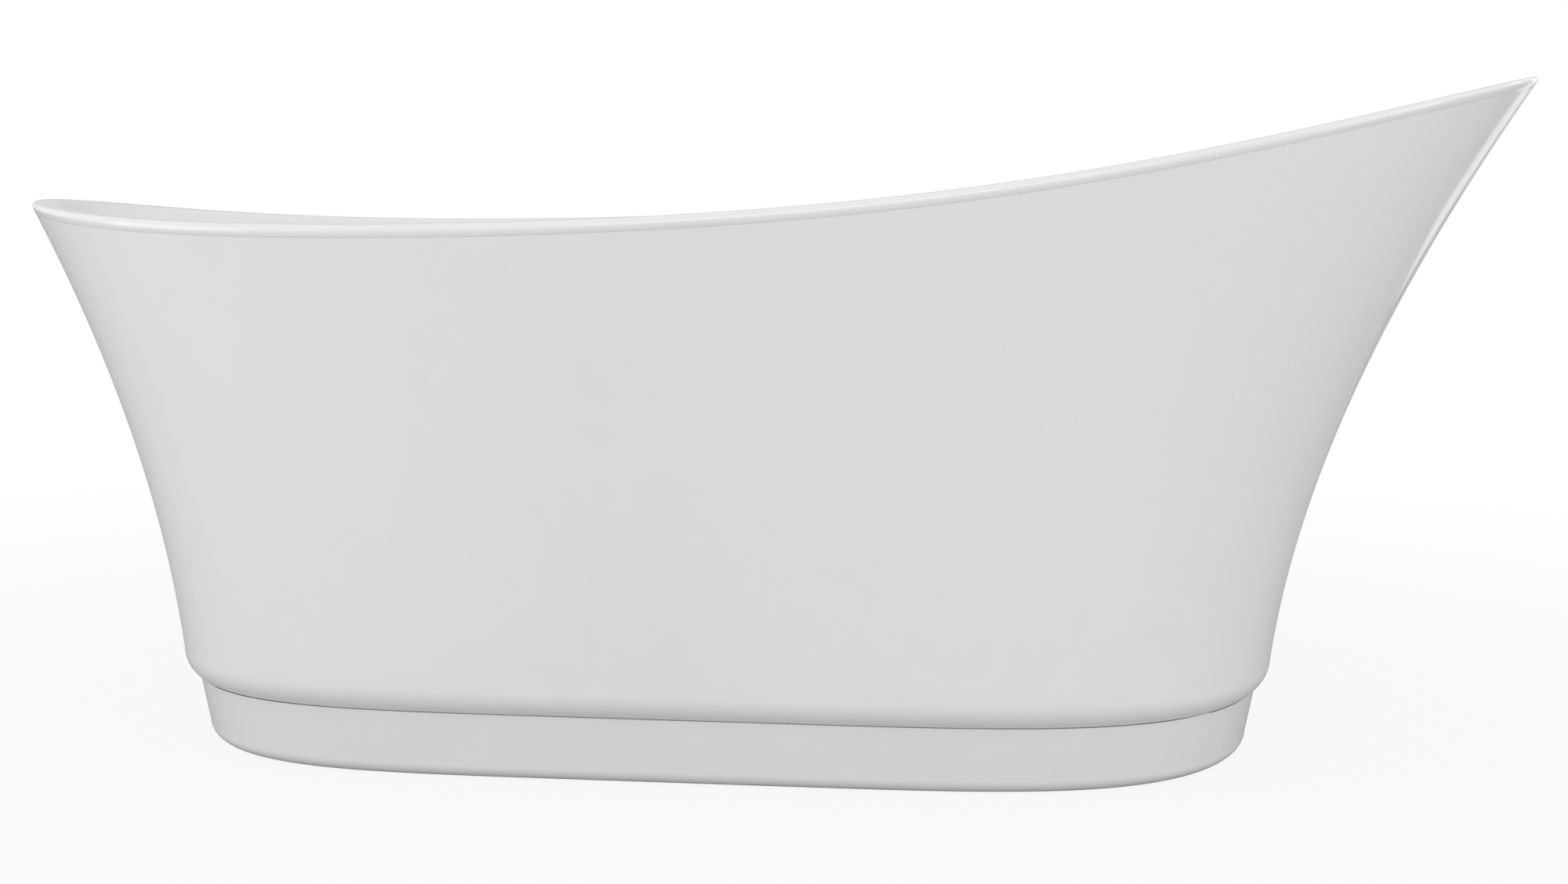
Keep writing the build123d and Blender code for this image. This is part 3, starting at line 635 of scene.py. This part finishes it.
def plinth_rings(inset):
    radius = PLINTH_TUCK - inset
    foot = FLOOR_GAP + PLINTH_TUCK
    shelf = WALL_START - EDGE_RADIUS
    rings = []
    for turn in spread(pi / 2, 0.0, 10):
        away = PLINTH_STEP + PLINTH_DRAFT + PLINTH_TUCK - radius * cos(turn)
        rings.append(level_ring(away, foot - radius * sin(turn)))
    lean = PLINTH_DRAFT / (shelf - foot)
    into = (EDGE_RADIUS - PLINTH_STEP - inset) / EDGE_RADIUS
    top = WALL_START - EDGE_RADIUS * sqrt(1 - into**2) - SEAM
    for z in spread(foot, top, 6)[1:]:
        rings.append(level_ring(PLINTH_STEP + inset - lean * (z - shelf), z))
    return rings


def make_plinth(material):
    piece = looped("tub_plinth", plinth_rings(0.0) + plinth_rings(ACRYLIC)[::-1], material)
    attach(piece, "tub")
    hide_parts("plinth")


def make_liners(material):
    """Laminate on the hidden sides of the skirt and the basin."""
    deep = ACRYLIC + SKIRT_LINER
    rings = [wall_ring(ACRYLIC + BOND_GAP, s) for s in spread(0.0, 0.92, 24)]
    rings += [wall_ring(deep, s) for s in spread(0.92, 0.0, 24)]
    skirt = looped("skirt_liner", rings, material)
    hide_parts("skirt_backing")
    near, far = ACRYLIC + BOND_GAP, ACRYLIC + BASIN_LINER
    shares = (0.0, 0.01, 0.03, 0.06, 0.1, 0.2, 0.45, 0.75)
    rings = [floor_ring(near, s) for s in shares]
    rings += [basin_ring(near, u) for u in spread(0.0, 0.95, 36)]
    rings += [basin_ring(far, u) for u in spread(0.95, 0.0, 36)]
    rings += [floor_ring(far, s) for s in reversed(shares)]
    basin = looped("basin_liner", rings, material)
    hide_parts("basin_backing")
    for piece in (skirt, basin):
        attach(piece, "tub")


# ---- hose, studs and pads --------------------------------------------------------


def rounded_run(corners, radius, step):
    """Points along straight runs joined by arcs of one radius."""
    points = [Vector(corners[0])]
    for before, corner, after in zip(corners, corners[1:], corners[2:]):
        before, corner, after = Vector(before), Vector(corner), Vector(after)
        into, away = (corner - before).normalized(), (after - corner).normalized()
        half = into.angle(away) / 2
        first = corner - into * radius * sin(half) / cos(half)
        centre = corner + (away - into).normalized() * radius / cos(half)
        arm = first - centre
        axis = into.cross(away).normalized()
        for i in range(9):
            points.append(centre + Matrix.Rotation(2 * half * i / 8, 3, axis) @ arm)
    points.append(Vector(corners[-1]))
    return resampled(points, step)


def resampled(points, step):
    out, carry = [points[0]], 0.0
    for a, b in zip(points, points[1:]):
        length = (b - a).length
        at = step - carry
        while at <= length:
            out.append(a + (b - a) * at / length)
            at += step
        carry = length - (at - step)
    out.append(points[-1])
    return out


def tube_along(name, points, radii, bore, material):
    """Tube along points in the middle plane, with a radius at each point."""
    size = 40
    outer, inner = [], []
    for i, (point, radius) in enumerate(zip(points, radii)):
        ahead = points[min(i + 1, len(points) - 1)] - points[max(i - 1, 0)]
        side = Vector((0, 1, 0))
        other = ahead.normalized().cross(side)
        for ring, r in ((outer, radius), (inner, bore)):
            turns = [2 * pi * j / size for j in range(size)]
            ring.append([tuple(point + (side * cos(t) + other * sin(t)) * r) for t in turns])
    return looped(name, outer + inner[::-1], material)


def make_hose(material):
    """Ribbed overflow hose between its two plain cuffs."""
    here, down, out = overflow_axes()
    first = here + out * OUTLET + down * 0.0363
    corners = [first, first + down * 0.016, *HOSE_BENDS, (DRAIN_X - 0.0583, 0.0, 0.088)]
    points = rounded_run(corners, 0.038, 0.0011)
    last = len(points) - 1
    radii = []
    for i in range(len(points)):
        cuff = i < 16 or i > last - 16
        radii.append(CUFF_RADIUS if cuff else HOSE_RADIUS + HOSE_RIB * cos(2 * pi * i / 5))
    piece = tube_along("overflow_pipe", points, radii, HOSE_BORE, material)
    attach(piece, "tub")
    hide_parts("overflow_hose")


def hexagon_radius(across, angle):
    return across / 2 / cos((angle + pi / 6) % (pi / 3) - pi / 6)


def make_stud(number, x, y, material):
    """Threaded stud with its hexagon collar, the thread cut as a true helix."""
    size = 48
    turns = [2 * pi * i / size for i in range(size)]
    rings = []
    for z in spread(0.0058, 0.0148, 6):
        rings.append([(x + 0.0056 * cos(t), y + 0.0056 * sin(t), z) for t in turns])
    for z, inset in ((0.0152, 0.0016), (0.0158, 0.0), (0.0206, 0.0), (0.0212, 0.0016)):
        radii = [min(hexagon_radius(0.019, t), 0.0106) - inset for t in turns]
        rings.append([(x + r * cos(t), y + r * sin(t), z) for r, t in zip(radii, turns)])
    for z in spread(0.0213, 0.0655, 150):
        ring = []
        for t in turns:
            phase = (z / THREAD_PITCH - t / (2 * pi)) % 1.0
            depth = min(1.0, max(0.0, 1.6 * (1 - abs(2 * phase - 1)) - 0.2))
            taper = max(0.0, z - 0.0643)
            r = THREAD_RADIUS - THREAD_DEPTH * depth - taper
            ring.append((x + r * cos(t), y + r * sin(t), z))
        rings.append(ring)
    piece = capped(f"stud_{number}", rings, material, 60.0)
    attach(piece, f"foot_{number}")
    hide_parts(f"foot_stud_{number}")


def make_pad(number, x, y, material):
    """Moulded pad: ribbed dome on top, ringed grip underneath, socket for the stud."""
    profile = [(0.0063, 0.0055), (0.0063, 0.0136), (0.0067, 0.014), (0.0101, 0.014)]
    profile += [(0.0105, 0.0136), (0.0115, 0.0122), (0.0132, 0.0104), (0.0170, 0.0080)]
    profile += [(0.0215, 0.0053), (0.0246, 0.0036), (0.0250, 0.0030), (0.0250, 0.0012)]
    profile += [(0.0243, 0.0002), (0.0236, 0.0)]
    for r in (0.0215, 0.0180, 0.0145, 0.0110):
        profile += [(r, 0.0), (r - 0.0003, 0.0008), (r - 0.0012, 0.0008), (r - 0.0015, 0.0)]
    profile += [(0.0030, 0.0)]
    size = 96
    rings = []
    for r, z in profile:
        ring = []
        for i in range(size):
            t = 2 * pi * i / size
            rib = 0.0007 if i % 8 < 2 and 0.011 < r < 0.024 and z > 0.003 else 0.0
            ring.append((x + r * cos(t), y + r * sin(t), z - 0.0005 + rib if z > 0.003 else z))
        rings.append(ring)
    piece = capped(f"pad_{number}", rings, material, 34.0)
    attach(piece, f"foot_{number}")
    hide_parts(f"foot_pad_{number}")


def domed(reach, top, height, fullness, squareness):
    """Ring radii and heights of a soft-shouldered dome, from its edge to its crown."""
    profile = []
    for t in spread(0.0, radians(89.0), 22):
        r = reach * cos(t) ** (2 / fullness)
        profile.append((r, top + height * sin(t) ** (2 / squareness)))
    return profile


def lathe(name, profile, origin, along, axis, material, size=96):
    """Solid turned about an axis from radius and height pairs, capped at both ends."""
    across = axis.cross(along)
    rings = []
    for r, z in profile:
        turns = [2 * pi * i / size for i in range(size)]
        middle = origin + axis * z
        rings.append([tuple(middle + (along * cos(t) + across * sin(t)) * r) for t in turns])
    return capped(name, rings, material, 30.0)


def cut(piece, tool):
    """Takes one solid out of another and leaves no modifier."""
    modifier = piece.modifiers.new("cut", "BOOLEAN")
    modifier.object = tool
    modifier.solver = "EXACT"
    graph = bpy.context.evaluated_depsgraph_get()
    mesh = bpy.data.meshes.new_from_object(piece.evaluated_get(graph))
    piece.modifiers.clear()
    piece.data = mesh
    mesh.set_sharp_from_angle(angle=radians(30.0))
    bpy.data.objects.remove(tool)


def make_plug_cap(material):
    """Polished dome of the pop-up plug."""
    profile = [(0.0304, 0.1225), (0.0308, 0.1227)] + domed(0.031, 0.1231, 0.0058, 3.5, 1.6)
    origin, along, axis = Vector((DRAIN_X, 0, 0)), Vector((1, 0, 0)), Vector((0, 0, 1))
    piece = lathe("plug_dome", profile, origin, along, axis, material)
    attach(piece, "plug")
    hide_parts("plug_cap")


def make_overflow_cover(material):
    """Polished hollow cap over the overflow, with its mouth underneath."""
    here, down, out = overflow_axes()
    inner = domed(0.0333, 0.0052, 0.006, 5.0, 1.6)[::-1] + [(0.0333, -0.0004)]
    outer = [(0.0335, -0.0004), (0.0353, -0.0004), (0.0355, -0.0002)]
    profile = inner + outer + domed(0.0355, 0.007, 0.006, 5.0, 1.6)
    piece = lathe("overflow_dome", profile, here, down, -out, material)
    corners = []
    for k in (-0.009, -0.001):
        for x, y in ((0.02, -0.014), (0.04, -0.014), (0.04, 0.014), (0.02, 0.014)):
            corners.append(tuple(here + down * x + out * k + Vector((0, y, 0))))
    sides = [(0, 1, 2, 3), (7, 6, 5, 4), (0, 4, 5, 1), (1, 5, 6, 2), (2, 6, 7, 3), (3, 7, 4, 0)]
    cut(piece, add_mesh("mouth", corners, sides, material))
    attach(piece, "tub")
    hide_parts("overflow_cover")


# ---- dressing the CAD nodes ------------------------------------------------------


def dress(materials):
    """Gives every CAD node the material of its slot."""
    slots = {row["node"]: row["material_slot"] for row in frame["record"]["subparts"]}
    for name, node in frame["nodes"].items():
        material = materials[slots[name]]
        if not node.material_slots:
            node.data.materials.append(material)
        for slot in node.material_slots:
            slot.material = material


def build():
    acrylic = make_acrylic()
    black = make_moulded("black_nylon", (0.018, 0.018, 0.019), (0.034, 0.034, 0.035), 0.45)
    rubber = make_moulded("black_rubber", (0.014, 0.014, 0.014), (0.028, 0.027, 0.026), 0.68)
    zinc = make_zinc()
    materials = {
        "acrylic_white": acrylic,
        "glass_fibre": make_glass_fibre(),
        "adhesive": make_moulded("adhesive", (0.62, 0.60, 0.54), (0.72, 0.70, 0.64), 0.5, 300.0),
        "plywood": make_plywood(),
        "galvanised_steel": make_galvanised(),
        "zinc_fastener": zinc,
        "black_plastic": black,
        "black_rubber": rubber,
        "chrome": make_chrome(),
        "waste_plastic": make_moulded("white_abs", (0.60, 0.60, 0.58), (0.70, 0.70, 0.68), 0.34),
        "hose_plastic": make_moulded("hose_plastic", (0.42, 0.43, 0.43), (0.54, 0.55, 0.54), 0.42),
        "brass": make_brass("brass", (0.52, 0.36, 0.14), (0.76, 0.58, 0.28)),
        "spring_steel": make_brass("spring_steel", (0.42, 0.42, 0.43), (0.60, 0.60, 0.61)),
    }
    dress(materials)
    make_basin(acrylic)
    make_skirt(acrylic)
    make_plinth(acrylic)
    make_liners(materials["glass_fibre"])
    make_hose(materials["hose_plastic"])
    make_plug_cap(materials["chrome"])
    make_overflow_cover(materials["chrome"])
    for number in range(1, 6):
        low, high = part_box(f"foot_pad_{number}")
        x, y = (low[0] + high[0]) / 2, (low[1] + high[1]) / 2
        make_stud(number, x, y, zinc)
        make_pad(number, x, y, black)


bpy.context.scene.view_settings.view_transform = "Standard"
make_camera()
make_world()
make_floor()
make_area_light("front_softbox", (0.2, -3.7, 2.1), (0.0, 0.0, 0.4), (3.0, 1.6), 23.0)
make_area_light("right_fill", (3.2, -1.3, 1.1), (0.6, 0.0, 0.5), (1.8, 1.8), 13.0)
make_area_light("left_fill", (-3.2, -1.3, 1.1), (-0.6, 0.0, 0.4), (1.8, 1.8), 15.0)
make_area_light("right_strip", (1.9, 1.9, 0.95), (0.8, 0.0, 0.5), (0.45, 1.8), 1.7)
make_area_light("rear_strip", (2.6, 1.4, 1.75), (0.8, 0.0, 0.7), (0.1, 0.5), 1.2)
build()
